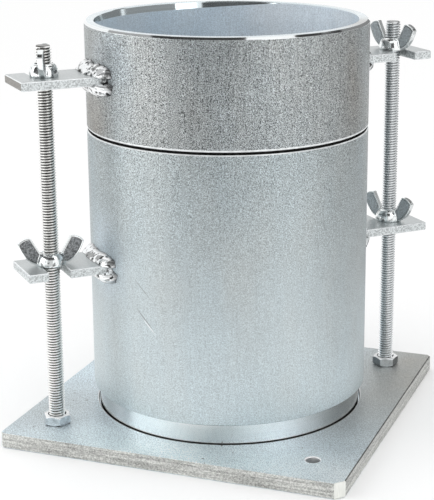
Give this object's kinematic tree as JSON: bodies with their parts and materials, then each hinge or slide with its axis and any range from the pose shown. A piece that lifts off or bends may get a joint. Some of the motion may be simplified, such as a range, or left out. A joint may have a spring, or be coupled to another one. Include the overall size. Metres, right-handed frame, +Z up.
{
  "type": "california bearing ratio mould",
  "caption": "Steel soil compaction mould on a square studded base plate, with an extension collar clamped down by wing nuts on slotted lugs.",
  "frame": {"origin": "centre of the base plate's underside, on the axis of the mould's bore", "axes": "+Z up along the bore, plate sides along X and Y, studs at -X -Y and at +X +Y"},
  "size_m": [0.2064, 0.2064, 0.241],
  "materials": {
    "plated_plate": "zinc-plated rolled plate, satin, faint blotches",
    "plated_tube": "zinc-plated tube, fine rough grain, machined bands at the ends",
    "plated_collar": "zinc-plated tube, coarser dull grain, machined rim",
    "plated_lug": "zinc-plated flat bar, satin",
    "weld_metal": "zinc-plated weld bead, lumpy and glossy",
    "bright_zinc": "bright zinc plating, glossy"
  },
  "bodies": {
    "base": {"base_plate": "plated_plate", "stud_left": "bright_zinc", "stud_right": "bright_zinc", "lock_nut_left": "bright_zinc", "lock_nut_right": "bright_zinc"},
    "mould": {"mould_body": "plated_tube", "body_lug_left": "plated_lug", "body_lug_right": "plated_lug", "weld_body_left_upper": "weld_metal", "weld_body_left_lower": "weld_metal", "weld_body_right_upper": "weld_metal", "weld_body_right_lower": "weld_metal"},
    "collar": {"extension_collar": "plated_collar", "collar_lug_left": "plated_lug", "collar_lug_right": "plated_lug", "weld_collar_left_upper": "weld_metal", "weld_collar_left_lower": "weld_metal", "weld_collar_right_upper": "weld_metal", "weld_collar_right_lower": "weld_metal"},
    "nut_lower_left": {"wing_nut_lower_left": "bright_zinc"},
    "nut_lower_right": {"wing_nut_lower_right": "bright_zinc"},
    "nut_upper_left": {"wing_nut_upper_left": "bright_zinc"},
    "nut_upper_right": {"wing_nut_upper_right": "bright_zinc"}
  },
  "joints": [
    {"name": "mould_turn", "type": "hinge", "parent": "base", "child": "mould", "pos_m": [0, 0, 0.1], "axis": [0, 0, 1], "range_deg": [-168, 0]},
    {"name": "collar_turn", "type": "hinge", "parent": "base", "child": "collar", "pos_m": [0, 0, 0.21], "axis": [0, 0, 1], "range_deg": [0, 168]},
    {"name": "nut_lower_left_spin", "type": "hinge", "parent": "base", "child": "nut_lower_left", "pos_m": [-0.07859, -0.07859, 0.11], "axis": [0, 0, 1], "continuous": true},
    {"name": "nut_lower_right_spin", "type": "hinge", "parent": "base", "child": "nut_lower_right", "pos_m": [0.07859, 0.07859, 0.11], "axis": [0, 0, 1], "continuous": true},
    {"name": "nut_upper_left_spin", "type": "hinge", "parent": "base", "child": "nut_upper_left", "pos_m": [-0.07859, -0.07859, 0.22], "axis": [0, 0, 1], "continuous": true},
    {"name": "nut_upper_right_spin", "type": "hinge", "parent": "base", "child": "nut_upper_right", "pos_m": [0.07859, 0.07859, 0.22], "axis": [0, 0, 1], "continuous": true}
  ]
}
